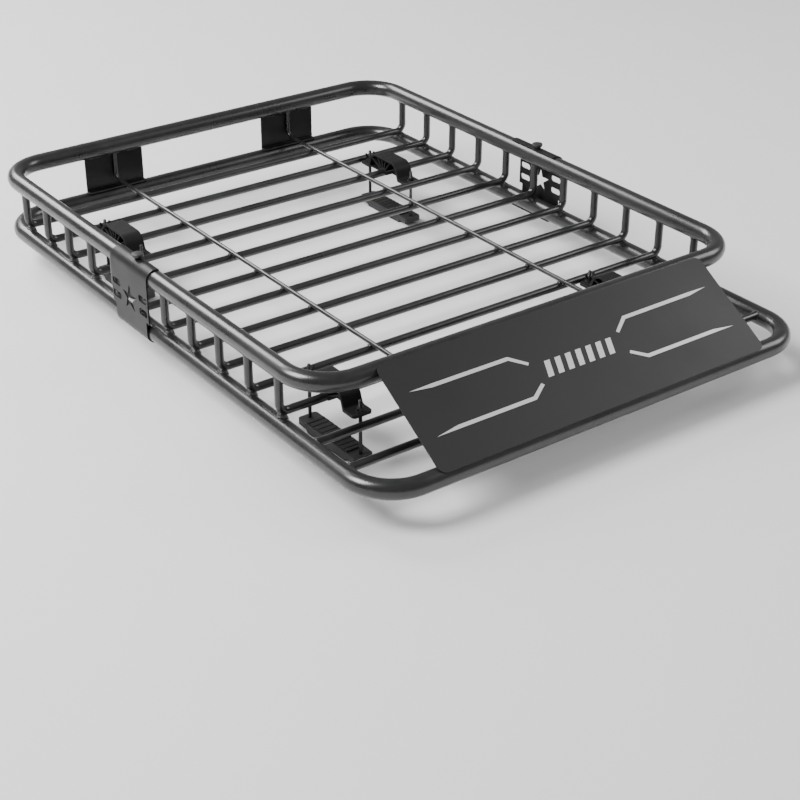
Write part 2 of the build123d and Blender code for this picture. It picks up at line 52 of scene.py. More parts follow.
# Bends and fits that the frame's boxes don't give
RAIL_BEND = 76 * MM
BAR_BEND = 16 * MM
ROD_BEND = 16 * MM
SEAM_GAP = 0.2 * MM
SEAM_CHAMFER = 0.1 * MM
SPIGOT_R = 14.6 * MM
SPIGOT_ROOT = 5 * MM

# Places and sizes read from the frame, in metres
rear_low, rear_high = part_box("top_rail_rear")
front_low, front_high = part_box("top_rail_front")
lower_rear_low, lower_rear_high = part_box("lower_rail_rear")
lower_front_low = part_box("lower_rail_front")[0]
bar_low, bar_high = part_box("floor_bar_01")
rod_low, rod_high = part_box("long_rod_rear_right")
RAIL_R = (rear_high.z - rear_low.z) / 2
TOP_Z = (rear_high.z + rear_low.z) / 2
LOW_Z = (lower_rear_high.z + lower_rear_low.z) / 2
HALF_WIDTH = rear_high.x - RAIL_R
REAR_Y = rear_high.y - RAIL_R
TOP_FRONT_Y = front_low.y + RAIL_R
LOW_REAR_Y = lower_rear_high.y - RAIL_R
LOW_FRONT_Y = lower_front_low.y + RAIL_R
REAR_SEAM_Y = rear_low.y
FRONT_SEAM_Y = REAR_SEAM_Y - SEAM_GAP
SPIGOT_END_Y = front_high.y
BAR_R = (bar_high.y - bar_low.y) / 2
ROD_R = (rod_high.x - rod_low.x) / 2
FLOOR_Z = rod_low.z - BAR_R
BAR_YS = [sum(corner.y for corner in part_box(f"floor_bar_{i:02d}")) / 2 for i in range(1, 12)]
SIDES = (("left", -HALF_WIDTH), ("right", HALF_WIDTH))

# Posts and rods end inside the top tubes, and nose bars inside the lower ones
POST_TOP_Z = TOP_Z - RAIL_R * 0.6
NOSE_END_X = HALF_WIDTH - RAIL_R * 0.7

# Faces round each kind of tube
RAIL_FACES = 56
SPIGOT_FACES = 48
BAR_FACES = 32
ROD_FACES = 24

# Angles in degrees: where shading creases, which faces count as flat, which edges are rounded;
# and the distance within which vertices merge
CREASE = 35
WELD_CREASE = 60
THREAD_CREASE = 40
FLAT = 1.5
ROUNDED_EDGE = 38
MERGE_DISTANCE = 0.002 * MM

# Weld beads: their radii, a quick ripple with a slow one under it, and how far an end narrows
POST_BEAD = 1.5 * MM
FOOT_BEAD = 1.7 * MM
NOSE_BEAD = 1.6 * MM
TACK_BEAD = 1.7 * MM
ROD_END_BEAD = 1.2 * MM
PLATE_BEAD = 1.5 * MM
QUICK_RIPPLE = 0.16
SLOW_RIPPLE = 0.08
SLOW_RATE = 0.37
SLOW_START = 1.1
BEAD_END = 0.45

# Flared weld under each bend: distance out in bar radii, and width in weld radii
FLARE_STEPS = ((0.55, 0.9), (0.8, 1.0), (1.0, 1.12), (1.15, 1.5))
FLARE_FACES = 28
FLARE_LENGTHENING = 1.15
FLARE_WOBBLE = 0.05
FLARE_LOBES = 5
WELD_R = 5 * MM
FOOT_LIFT = 0.4 * MM

# Tack welds beside each crossing of rod and bar
TACK_OUT = 0.4 * MM
TACK_UP = 0.7 * MM
TACK_HALF_LENGTH = 4.2 * MM
TACK_VARIATION = 0.5 * MM
TACK_SAG = 0.5 * MM
TACK_STEPS = 8

# Stitch welds on the rear plates
PLATE_SHEET = 3 * MM
STITCH_LENGTH = 24 * MM
STITCH_INSET = 10 * MM
STITCH_STEPS = 16

# Clamp bolts; lengths run up from the underside of the head
STUD_R = 3 * MM
SHANK_R = STUD_R * 0.97
SHANK_END = 62 * MM
HEAD_HEIGHT = 4 * MM
HEAD_ACROSS = 10 * MM
HEAD_REACH = HEAD_ACROSS / math.sqrt(3)
HEAD_LAP = 1 * MM
HEAD_FACES = 36
ROUND_REACH = 0.95
THREAD_START = 60 * MM
THREAD_PITCH = 1.0 * MM
THREAD_DEPTH = 0.4 * MM
THREAD_FACES = 32
ROWS_PER_TURN = 6
LEAD_IN = 0.9 * MM
TIP_SCALE = 0.82

# Hex head from below: height, width, and how round each ring is
HEAD_RINGS = ((0, 0.80, 1.0), (0.12, 0.93, 0.6), (0.28, 1.0, 0.0), (1.0, 1.0, 0.0))

# The part of a noise's range that most of its values fall in
NOISE_RANGE = (0.3, 0.7)

# Agreement of the true and the rounded normal where wear begins, and where it is full
WEAR_BEGINS = 0.985
WEAR_FULL = 0.9


# ---------------------------------------------------------------- mesh helpers

def add_object(name, mesh):
    """Link a mesh to the scene as a new object."""
    piece = bpy.data.objects.new(name, mesh)
    bpy.context.scene.collection.objects.link(piece)
    return piece


def from_bmesh(name, shape, crease=CREASE):
    """Turn a bmesh into an object with smooth faces and sharp creases."""
    bmesh.ops.recalc_face_normals(shape, faces=shape.faces)
    mesh = bpy.data.meshes.new(name)
    shape.to_mesh(mesh)
    shape.free()
    mesh.shade_smooth()
    mesh.set_sharp_from_angle(angle=math.radians(crease))
    return add_object(name, mesh)


def rounded_route(corners, radius, steps=14):
    """Points along straight runs joined by tangent arcs."""
    points = [Vector(corners[0])]
    for before, corner, after in zip(corners, corners[1:], corners[2:]):
        corner = Vector(corner)
        inward = (Vector(before) - corner).normalized()
        outward = (Vector(after) - corner).normalized()
        half_turn = (math.pi - inward.angle(outward)) / 2
        setback = radius * math.tan(half_turn)
        centre = corner + (inward + outward).normalized() * (radius / math.cos(half_turn))
        start = corner + inward * setback - centre
        axis = inward.cross(outward).normalized()
        for i in range(steps + 1):
            turn = Matrix.Rotation(-2 * half_turn * i / steps, 3, axis)
            points.append(centre + turn @ start)
    points.append(Vector(corners[-1]))
    return points


def divide_runs(points, longest):
    """Split long straight runs, so that a swept tube has evenly sized faces."""
    divided = [points[0]]
    for start, end in zip(points, points[1:]):
        count = max(1, math.ceil((end - start).length / longest))
        divided += [start.lerp(end, i / count) for i in range(1, count + 1)]
    return divided


def sweep_rings(shape, points, radii, sides, closed=False):
    """Rings of vertices along a route, joined by quads; returns the rings."""
    count = len(points)
    tangents = []
    for i in range(count):
        ahead = points[(i + 1) % count] if closed else points[min(i + 1, count - 1)]
        behind = points[i - 1] if closed else points[max(i - 1, 0)]
        tangents.append((ahead - behind).normalized())
    side = tangents[0].orthogonal().normalized()
    rings = []
    for point, tangent, radius in zip(points, tangents, radii):
        side = (side - tangent * side.dot(tangent)).normalized()
        other = tangent.cross(side)
        ring = []
        for i in range(sides):
            angle = 2 * math.pi * i / sides
            outward = side * math.cos(angle) + other * math.sin(angle)
            ring.append(shape.verts.new(point + outward * radius))
        rings.append(ring)
    join_rings(shape, rings, closed)
    return rings


def join_rings(shape, rings, closed=False):
    """Quads between neighbouring rings; a closed loop is joined with the twist that fits best."""
    pairs = list(zip(rings, rings[1:]))
    for first, second in pairs:
        for i in range(len(first)):
            j = (i + 1) % len(first)
            shape.faces.new((first[i], first[j], second[j], second[i]))
    if closed:
        first, second = rings[-1], rings[0]
        count = len(first)
        shift = min(range(count), key=lambda k: (first[0].co - second[k].co).length)
        for i in range(count):
            j = (i + 1) % count
            shape.faces.new((first[i], first[j], second[(j + shift) % count], second[(i + shift) % count]))


def tube(name, corners, radius, bend, sides=40, longest=40 * MM, chamfer=0.5 * MM):
    """A round tube along straight runs and bends, with slightly rounded ends."""
    points = divide_runs(rounded_route(corners, bend), longest)
    start_direction = (points[1] - points[0]).normalized()
    end_direction = (points[-1] - points[-2]).normalized()
    points = [points[0], points[0] + start_direction * chamfer] + points[1:-1]
    points += [Vector(corners[-1]) - end_direction * chamfer, Vector(corners[-1])]
    radii = [radius - chamfer] + [radius] * (len(points) - 2) + [radius - chamfer]
    shape = bmesh.new()
    rings = sweep_rings(shape, points, radii, sides)
    shape.faces.new(rings[0])
    shape.faces.new(rings[-1])
    return from_bmesh(name, shape)


def add_bead(shape, points, thickness, ripple, sides=8, closed=True):
    """A weld bead along a curve: its thickness ripples as the weld pool did."""
    radii = []
    for i in range(len(points)):
        phase = i * ripple
        quick = QUICK_RIPPLE * math.sin(phase)
        slow = SLOW_RIPPLE * math.sin(SLOW_RATE * phase + SLOW_START)
        radii.append(thickness * (1 + quick + slow))
    if not closed:
        radii[0] = radii[-1] = thickness * BEAD_END
    rings = sweep_rings(shape, points, radii, sides, closed)
    if not closed:
        shape.faces.new(rings[0])
        shape.faces.new(rings[-1])


def saddle_curve(axis_point, axis, radius, tube_point, tube_axis, tube_radius, steps=44):
    """Where a small round tube, ending on a large one, meets its surface."""
    axis = axis.normalized()
    tube_axis = tube_axis.normalized()
    across = axis.cross(tube_axis).normalized()
    along = across.cross(axis).normalized()
    points = []
    for i in range(steps):
        angle = 2 * math.pi * i / steps
        start = axis_point + (across * math.cos(angle) + along * math.sin(angle)) * radius
        flat_start = start - tube_point - tube_axis * (start - tube_point).dot(tube_axis)
        flat_axis = axis - tube_axis * axis.dot(tube_axis)
        a = flat_axis.dot(flat_axis)
        b = flat_axis.dot(flat_start)
        c = flat_start.dot(flat_start) - tube_radius**2
        points.append(start + axis * ((-b - math.sqrt(max(b * b - a * c, 0))) / a))
    return points


def soften(node, bevel):
    """A copy of a CAD node with its flat faces merged and its edges rounded over."""
    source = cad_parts[node].data
    shape = bmesh.new()
    shape.from_mesh(source)
    bmesh.ops.remove_doubles(shape, verts=shape.verts, dist=MERGE_DISTANCE)
    bmesh.ops.dissolve_limit(shape, angle_limit=math.radians(FLAT), verts=shape.verts, edges=shape.edges)
    piece = from_bmesh(node + "_shell", shape)
    rounding = piece.modifiers.new("rounded_edges", "BEVEL")
    rounding.width = bevel
    rounding.segments = 3
    rounding.limit_method = "ANGLE"
    rounding.angle_limit = math.radians(ROUNDED_EDGE)
    rounding.harden_normals = True
    return piece


def finish_piece(piece, body, material, slot, *nodes):
    """Give a piece its material and body, and hide the CAD nodes it stands for."""
    piece.data.materials.clear()
    piece.data.materials.append(material)
    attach(piece, body)
    if nodes:
        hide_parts(*nodes)


# ---------------------------------------------------------------- materials

class Surface:
    """A node material around one Principled shader, with short ways to add its detail."""

    def __init__(self, name, **constants):
        self.material = bpy.data.materials.new(name)
        self.material.use_nodes = True
        self.nodes = self.material.node_tree.nodes
        self.links = self.material.node_tree.links
        self.shader = self.nodes["Principled BSDF"]
        for socket, value in constants.items():
            self.shader.inputs[socket.replace("_", " ")].default_value = value
        self.place = self.nodes.new("ShaderNodeTexCoord").outputs["Object"]

    def noise(self, scale, detail=2.0, roughness=0.5, stretch=None):
        """Noise in object space; scale is in features per metre."""
        node = self.nodes.new("ShaderNodeTexNoise")
        node.inputs["Scale"].default_value = scale
        node.inputs["Detail"].default_value = detail
        node.inputs["Roughness"].default_value = roughness
        source = self.place
        if stretch:
            mapping = self.nodes.new("ShaderNodeMapping")
            mapping.inputs["Scale"].default_value = stretch
            self.links.new(source, mapping.inputs["Vector"])
            source = mapping.outputs["Vector"]
        self.links.new(source, node.inputs["Vector"])
        return node.outputs["Fac"]

    def cells(self, scale):
        """Distance to the nearest of many random points, for pits and grains."""
        node = self.nodes.new("ShaderNodeTexVoronoi")
        node.inputs["Scale"].default_value = scale
        self.links.new(self.place, node.inputs["Vector"])
        return node.outputs["Distance"]

    def remap(self, value, low, high, to_low, to_high):
        """Stretch a range of values onto another, clamped."""
        node = self.nodes.new("ShaderNodeMapRange")
        limits = (("From Min", low), ("From Max", high), ("To Min", to_low), ("To Max", to_high))
        for socket, limit in limits:
            node.inputs[socket].default_value = limit
        self.links.new(value, node.inputs["Value"])
        return node.outputs["Result"]

    def combine(self, operation, first, second):
        """Math on two values; the second may be a number."""
        node = self.nodes.new("ShaderNodeMath")
        node.operation = operation
        self.links.new(first, node.inputs[0])
        if isinstance(second, (int, float)):
            node.inputs[1].default_value = second
        else:
            self.links.new(second, node.inputs[1])
        return node.outputs["Value"]

    def colour_mix(self, factor, first, second):
        """Blend two colours, or a colour onto what an earlier blend made."""
        node = self.nodes.new("ShaderNodeMix")
        node.data_type = "RGBA"
        self.links.new(factor, node.inputs["Factor"])
        for socket, colour in ((node.inputs[6], first), (node.inputs[7], second)):
            if isinstance(colour, tuple):
                socket.default_value = (*colour, 1)
            else:
                self.links.new(colour, socket)
        return node.outputs[2]

    def edges(self, radius):
        """Near 1 on a worn edge and 0 on a flat or gently curved face."""
        rounded = self.nodes.new("ShaderNodeBevel")
        rounded.samples = 4
        rounded.inputs["Radius"].default_value = radius
        plain = self.nodes.new("ShaderNodeNewGeometry")
        facing = self.nodes.new("ShaderNodeVectorMath")
        facing.operation = "DOT_PRODUCT"
        self.links.new(rounded.outputs["Normal"], facing.inputs[0])
        self.links.new(plain.outputs["Normal"], facing.inputs[1])
        return self.remap(facing.outputs["Value"], WEAR_BEGINS, WEAR_FULL, 0.0, 1.0)

    def worn_edges(self, radius, scale, low, high, most, detail=3):
        """A broken line of wear along the sharp edges."""
        breaks = self.remap(self.noise(scale, detail, 0.7), low, high, 0.0, most)
        return self.combine("MULTIPLY", self.edges(radius), breaks)

    def set(self, socket, value):
        self.links.new(value, self.shader.inputs[socket])

    def set_colour(self, factor, first, second):
        """Base colour that blends from one colour to another."""
        self.set("Base Color", self.colour_mix(factor, first, second))

    def set_roughness(self, noise, low, high):
        """Roughness that follows a noise between two limits."""
        self.set("Roughness", self.remap(noise, *NOISE_RANGE, low, high))

    def bump(self, *layers):
        """Bump layers, each a height value and its depth in metres."""
        normal = None
        for height, depth in layers:
            node = self.nodes.new("ShaderNodeBump")
            node.inputs["Strength"].default_value = 1.0
            node.inputs["Distance"].default_value = depth
            self.links.new(height, node.inputs["Height"])
            if normal:
                self.links.new(normal, node.inputs["Normal"])
            normal = node.outputs["Normal"]
        self.links.new(normal, self.shader.inputs["Normal"])


def powder_coat_material():
    """Satin black powder coat: orange peel, faint dust, and rubbed patches on the tubes."""
    coat = Surface("powder_coat", Specular_IOR_Level=0.6, Coat_Weight=0.35, Coat_Roughness=0.24)
    patches = coat.noise(9, 4, 0.6)
    fine = coat.noise(55, 3, 0.6)
    dust = coat.remap(coat.combine("MULTIPLY", patches, fine), 0.16, 0.42, 0.0, 1.0)
    coat.set_colour(dust, (0.008, 0.008, 0.0085), (0.018, 0.018, 0.019))
    coat.set_roughness(patches, 0.25, 0.34)
    coat.bump((coat.noise(420, 2), 0.00009), (coat.noise(1500, 1), 0.00003))
    return coat.material


def plate_coat_material():
    """The same coat on sheet metal, with the steel-grey primer just showing along cut edges."""
    coat = Surface("plate_coat", Specular_IOR_Level=0.28, Coat_Weight=0.03, Coat_Roughness=0.35)
    patches = coat.noise(14, 4, 0.6)
    wear = coat.worn_edges(0.9 * MM, 260, 0.5, 0.68, 0.6)
    shade = coat.remap(patches, 0.35, 0.7, 0.0, 1.0)
    ground = coat.colour_mix(shade, (0.006, 0.006, 0.0064), (0.011, 0.011, 0.0115))
    coat.set_colour(wear, ground, (0.12, 0.12, 0.125))
    coat.set_roughness(patches, 0.34, 0.48)
    coat.bump((coat.noise(480, 2), 0.00008), (coat.noise(1700, 1), 0.00003))
    return coat.material


def weld_material():
    """Coated weld beads: a lumpy skin with patchy gloss."""
    bead = Surface("weld_bead", Specular_IOR_Level=0.5, Coat_Weight=0.3, Coat_Roughness=0.2)
    lumps = bead.noise(700, 3, 0.6)
    bead.set_colour(lumps, (0.012, 0.012, 0.012), (0.024, 0.024, 0.025))
    bead.set_roughness(lumps, 0.26, 0.46)
    bead.bump((lumps, 0.00025),)
    return bead.material


def fairing_material():
    """Fine-textured charcoal coat on the sheet, with faint clouding and a lighter worn edge."""
    paint = Surface("fairing_paint", Specular_IOR_Level=0.38)
    clouds = paint.noise(6, 5, 0.55)
    ground = paint.colour_mix(clouds, (0.014, 0.014, 0.0145), (0.018, 0.018, 0.0185))
    wear = paint.worn_edges(0.8 * MM, 300, 0.5, 0.7, 0.5)
    paint.set_colour(wear, ground, (0.16, 0.16, 0.165))
    paint.set_roughness(clouds, 0.40, 0.48)
    paint.bump((paint.noise(900, 2), 0.00006), (paint.cells(2600), 0.00003))
    return paint.material


def film_material():
    """Satin silver film, with fine scuffs and tiny grain."""
    film = Surface("silver_film", Metallic=0.25, Specular_IOR_Level=0.5)
    grain = film.noise(2400, 2)
    scuffs = film.remap(film.noise(90, 5, 0.75), 0.55, 0.75, 0.0, 1.0)
    film.set_colour(scuffs, (0.62, 0.62, 0.63), (0.5, 0.5, 0.51))
    film.set("Roughness", film.remap(scuffs, 0, 1, 0.38, 0.55))
    film.bump((grain, 0.00002),)
    return film.material


def nylon_material():
    """Glass-filled black nylon: a fine spark-eroded grain, flow marks and scuffed rib edges."""
    nylon = Surface("glass_filled_nylon", Specular_IOR_Level=0.2)
    flow = nylon.noise(40, 4, 0.6, stretch=(1.0, 3.0, 1.0))
    scuff = nylon.worn_edges(1.0 * MM, 350, 0.45, 0.7, 0.7)
    ground = nylon.colour_mix(flow, (0.006, 0.006, 0.006), (0.012, 0.012, 0.0125))
    nylon.set_colour(scuff, ground, (0.075, 0.075, 0.078))
    nylon.set_roughness(flow, 0.46, 0.62)
    nylon.bump((nylon.cells(1800), 0.00006), (nylon.noise(3200, 1), 0.00003))
    return nylon.material


def jaw_material():
    """Cast jaw under a black coat: a sandy skin with a few rubbed corners."""
    cast = Surface("cast_jaw", Specular_IOR_Level=0.5, Metallic=0.1)
    sand = cast.noise(800, 4, 0.65)
    wear = cast.worn_edges(1.2 * MM, 220, 0.48, 0.7, 0.8)
    ground = cast.colour_mix(sand, (0.014, 0.014, 0.015), (0.028, 0.028, 0.03))
    cast.set_colour(wear, ground, (0.2, 0.2, 0.21))
    cast.set_roughness(sand, 0.42, 0.62)
    cast.bump((sand, 0.00018),)
    return cast.material


def rubber_material():
    """Matt rubber with a patchy, dusty bloom."""
    rubber = Surface("pad_rubber", Specular_IOR_Level=0.3)
    bloom = rubber.noise(120, 4, 0.65)
    rubber.set_colour(bloom, (0.012, 0.012, 0.012), (0.035, 0.034, 0.033))
    rubber.set_roughness(bloom, 0.72, 0.9)
    rubber.bump((rubber.noise(1600, 2), 0.00008),)
    return rubber.material


def fastener_material():
    """Black zinc on steel: semi-metallic, with brighter steel along rubbed edges."""
    zinc = Surface("black_zinc", Specular_IOR_Level=0.5, Metallic=0.75)
    cloud = zinc.noise(180, 3, 0.6)
    wear = zinc.worn_edges(0.5 * MM, 500, 0.42, 0.66, 0.9, detail=2)
    ground = zinc.colour_mix(cloud, (0.022, 0.022, 0.024), (0.05, 0.05, 0.053))
    zinc.set_colour(wear, ground, (0.34, 0.34, 0.35))
    zinc.set_roughness(cloud, 0.30, 0.46)
    zinc.bump((zinc.noise(1300, 2), 0.00004),)
    return zinc.material


def knob_material():
    """Moulded knob: satin black plastic with fine grain, a patchy sheen and a paler rim."""
    plastic = Surface("knob_plastic", Specular_IOR_Level=0.5)
    touch = plastic.noise(150, 3, 0.6)
    wear = plastic.edges(0.9 * MM)
    ground = plastic.colour_mix(touch, (0.018, 0.018, 0.019), (0.032, 0.032, 0.033))
    plastic.set_colour(wear, ground, (0.06, 0.06, 0.062))
    plastic.set_roughness(touch, 0.34, 0.5)
    plastic.bump((plastic.noise(1900, 2), 0.00004),)
    return plastic.material


powder_coat = powder_coat_material()
plate_coat = plate_coat_material()
weld_coat = weld_material()
fairing_paint = fairing_material()
silver_film = film_material()
nylon = nylon_material()
cast_jaw = jaw_material()
pad_rubber = rubber_material()
black_zinc = fastener_material()
knob_plastic = knob_material()


# ---------------------------------------------------------------- frame tubes

def make_rail(name, end_y, seam_y, z):
    """One U of a loop; a front half shows its spigot in the seam."""
    corners = [
        (-HALF_WIDTH, seam_y, z),
        (-HALF_WIDTH, end_y, z),
        (HALF_WIDTH, end_y, z),
        (HALF_WIDTH, seam_y, z),
    ]
    rail = tube(name + "_tube", corners, RAIL_R, RAIL_BEND, RAIL_FACES, chamfer=SEAM_CHAMFER)
    finish_piece(rail, "basket", powder_coat, "powder_coat", name)
    if name.endswith("front"):
        for side_name, x in SIDES:
            ends = [(x, seam_y - SPIGOT_ROOT, z), (x, SPIGOT_END_Y, z)]
            spigot = tube(f"{name}_spigot_{side_name}", ends, SPIGOT_R, RAIL_BEND, SPIGOT_FACES)
            finish_piece(spigot, "basket", powder_coat, "powder_coat")


def make_floor_bar(number, y):
    """A bent bar whose ends run up to the top tubes."""
    corners = [
        (-HALF_WIDTH, y, POST_TOP_Z),
        (-HALF_WIDTH, y, FLOOR_Z),
        (HALF_WIDTH, y, FLOOR_Z),
        (HALF_WIDTH, y, POST_TOP_Z),
    ]
    name = f"floor_bar_{number:02d}"
    bar = tube(name + "_tube", corners, BAR_R, BAR_BEND, BAR_FACES)
    finish_piece(bar, "basket", powder_coat, "powder_coat", name)


def make_nose_bar(name):
    """A straight bar between the lower side tubes."""
    low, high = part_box(name)
    middle = (low + high) / 2
    ends = [(-NOSE_END_X, middle.y, middle.z), (NOSE_END_X, middle.y, middle.z)]
    bar = tube(name + "_tube", ends, BAR_R, BAR_BEND, BAR_FACES)
    finish_piece(bar, "basket", powder_coat, "powder_coat", name)


def make_rod(name, seam_y, rail_y):
    """A rod along the floor that turns up to a top tube."""
    low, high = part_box(name)
    x = (low.x + high.x) / 2
    z = low.z + ROD_R
    end_y = high.y - ROD_R if rail_y > seam_y else low.y + ROD_R
    corners = [(x, seam_y, z), (x, end_y, z), (x, end_y, POST_TOP_Z)]
    rod = tube(name + "_bar", corners, ROD_R, ROD_BEND, ROD_FACES, chamfer=0.3 * MM)
    finish_piece(rod, "basket", powder_coat, "powder_coat", name)
    return x, end_y


def make_post_welds(side_name, x):
    """A bead round the top of every post, and a flared weld from every bend to the lower tube."""
    shape = bmesh.new()
    side = math.copysign(1, x)
    for number, y in enumerate(BAR_YS):
        curve = saddle_curve(Vector((x, y, FLOOR_Z)), Z_AXIS, BAR_R, Vector((x, y, TOP_Z)), Y_AXIS, RAIL_R)
        add_bead(shape, curve, POST_BEAD, ripple=0.95 + 0.02 * number)
        bend_centre = Vector((x - side * BAR_BEND, y, FLOOR_Z + BAR_BEND))
        to_rail = (Vector((x, y, LOW_Z)) - bend_centre).normalized()
        across = to_rail.cross(Y_AXIS)
        rings = []
        for reach, flare in FLARE_STEPS:
            neck = bend_centre + to_rail * (BAR_BEND + BAR_R * reach)
            ring = []
            for i in range(FLARE_FACES):
                angle = 2 * math.pi * i / FLARE_FACES
                wobble = 1 + FLARE_WOBBLE * math.sin(FLARE_LOBES * angle + number)
                outward = across * math.cos(angle) + Y_AXIS * math.sin(angle) * FLARE_LENGTHENING
                ring.append(neck + outward * WELD_R * flare * wobble)
            rings.append(ring)
        rings.append([to_surface(point, x, LOW_Z, to_rail) for point in rings[-1]])
        join_rings(shape, [[shape.verts.new(point) for point in ring] for ring in rings])
        foot = []
        for point in rings[-1]:
            from_axis = point - Vector((x, point.y, LOW_Z))
            foot.append(point + from_axis.normalized() * FOOT_LIFT)
        add_bead(shape, foot, FOOT_BEAD, ripple=1.3)
    welds = from_bmesh(f"post_welds_{side_name}", shape, WELD_CREASE)
    finish_piece(welds, "basket", weld_coat, "powder_coat")


def to_surface(point, x, z, direction):
    """Move a point along a direction to the surface of a side tube."""
    flat = Vector((point.x - x, 0, point.z - z))
    b = flat.dot(direction)
    c = flat.dot(flat) - RAIL_R**2
    return point + direction * (-b - math.sqrt(max(b * b - c, 0)))


def make_nose_welds():
    """Beads where the nose bars meet the lower side tubes."""
    shape = bmesh.new()
    for name in NOSE_BARS:
        low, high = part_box(name)
        middle = (low + high) / 2
        for side in (-1, 1):
            start = Vector((0, middle.y, middle.z))
            rail = Vector((side * HALF_WIDTH, middle.y, LOW_Z))
            curve = saddle_curve(start, Vector((side, 0, 0)), BAR_R, rail, Y_AXIS, RAIL_R)
            add_bead(shape, curve, NOSE_BEAD, ripple=1.05)
    welds = from_bmesh("nose_bar_welds", shape, WELD_CREASE)
    finish_piece(welds, "basket", weld_coat, "powder_coat")


def make_rod_welds(side_name, x, front_end_y, rear_end_y):
    """Tack welds where a rod crosses each bar, and beads where its ends meet the top tubes."""
    shape = bmesh.new()
    for number, y in enumerate(BAR_YS):
        for side in (-1, 1):
            centre = Vector((x + side * (ROD_R + TACK_OUT), y, FLOOR_Z + BAR_R + TACK_UP))
            half_length = TACK_HALF_LENGTH + TACK_VARIATION * math.sin(2.3 * number + side)
            run = []
            for i in range(TACK_STEPS + 1):
                along = 2 * i / TACK_STEPS - 1
                run.append(centre + Vector((0, half_length * along, -TACK_SAG * along**2)))
            add_bead(shape, run, TACK_BEAD, ripple=1.6, closed=False)
    for end_y, rail_y in ((front_end_y, TOP_FRONT_Y), (rear_end_y, REAR_Y)):
        start = Vector((x, end_y, FLOOR_Z))
        rail = Vector((x, rail_y, TOP_Z))
        curve = saddle_curve(start, Z_AXIS, ROD_R, rail, X_AXIS, RAIL_R, steps=28)
        add_bead(shape, curve, ROD_END_BEAD, ripple=1.2)
    welds = from_bmesh(f"rod_welds_{side_name}", shape, WELD_CREASE)
    finish_piece(welds, "basket", weld_coat, "powder_coat")


def make_plate_welds(side_name):
    """Stitch beads along the top and foot of a rear plate."""
    low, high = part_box(f"rear_plate_{side_name}")
    top_z = high.z - 1.2 * MM
    foot_z = low.z + 0.6 * MM
    lines = ((high.y - PLATE_SHEET, top_z), (high.y + 0.4 * MM, top_z), (high.y, foot_z))
    spacing = ((high.x - low.x) - 2 * STITCH_INSET - STITCH_LENGTH) / 2
    shape = bmesh.new()
    for i in range(3):
        start = low.x + STITCH_INSET + i * spacing
        for y, z in lines:
            run = [Vector((start + STITCH_LENGTH * j / STITCH_STEPS, y, z)) for j in range(STITCH_STEPS + 1)]
            add_bead(shape, run, PLATE_BEAD, ripple=1.25, closed=False)
    welds = from_bmesh(f"rear_plate_welds_{side_name}", shape, WELD_CREASE)
    finish_piece(welds, "basket", weld_coat, "powder_coat")


make_rail("top_rail_rear", REAR_Y, REAR_SEAM_Y, TOP_Z)
make_rail("top_rail_front", TOP_FRONT_Y, FRONT_SEAM_Y, TOP_Z)
make_rail("lower_rail_rear", LOW_REAR_Y, REAR_SEAM_Y, LOW_Z)
make_rail("lower_rail_front", LOW_FRONT_Y, FRONT_SEAM_Y, LOW_Z)
for number, y in enumerate(BAR_YS, start=1):
    make_floor_bar(number, y)
for name in NOSE_BARS:
    make_nose_bar(name)
make_nose_welds()
for side_name, x in SIDES:
    make_post_welds(side_name, x)
    _, rear_end_y = make_rod(f"long_rod_rear_{side_name}", REAR_SEAM_Y, REAR_Y)
    rod_x, front_end_y = make_rod(f"long_rod_front_{side_name}", FRONT_SEAM_Y, TOP_FRONT_Y)
    make_rod_welds(side_name, rod_x, front_end_y, rear_end_y)
    make_plate_welds(side_name)


# ---------------------------------------------------------------- sheet pieces and fasteners

def make_shell(node, body, bevel, material, slot):
    """A softened copy of a CAD node takes its place."""
    finish_piece(soften(node, bevel), body, material, slot, node)


for side_name in ("left", "right"):
    make_shell(f"side_plate_{side_name}", "basket", 0.5 * MM, plate_coat, "powder_coat")
    make_shell(f"rear_plate_{side_name}", "basket", 0.5 * MM, plate_coat, "powder_coat")
    make_shell(f"knob_bolt_{side_name}", f"knob_{side_name}", 0.6 * MM, knob_plastic, "knob_plastic")
make_shell("lower_joint_bolts", "basket", 0.4 * MM, black_zinc, "black_fastener")
make_shell("fairing_panel", "basket", 0.5 * MM, fairing_paint, "fairing_paint")
make_shell("fairing_graphics", "basket", 0.08 * MM, silver_film, "silver_film")
make_shell("fairing_brackets_upper", "basket", 0.3 * MM, plate_coat, "black_fastener")
make_shell("fairing_brackets_lower", "basket", 0.3 * MM, plate_coat, "black_fastener")
make_shell("fairing_nuts", "basket", 0.3 * MM, black_zinc, "black_fastener")
make_shell("stud_washers", "basket", 0.25 * MM, black_zinc, "black_fastener")


def make_threaded_bolts(place):
    """Hex bolts with a real helical thread on the upper part of each shank."""
    node = f"{place}_clamp_bolts"
    low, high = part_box(node)
    x = (low.x + high.x) / 2
    shape = bmesh.new()
    for y in (low.y + HEAD_ACROSS / 2, high.y - HEAD_ACROSS / 2):
        shank = [Vector((x, y, low.z + HEAD_HEIGHT - HEAD_LAP)), Vector((x, y, low.z + SHANK_END))]
        sweep_rings(shape, shank, [SHANK_R] * 2, THREAD_FACES)
        add_thread(shape, x, y, low.z + THREAD_START, high.z)
        add_hex_head(shape, x, y, low.z)
    bolts = from_bmesh(node + "_shell", shape, THREAD_CREASE)
    finish_piece(bolts, f"{place}_jaw", black_zinc, "black_fastener", node)


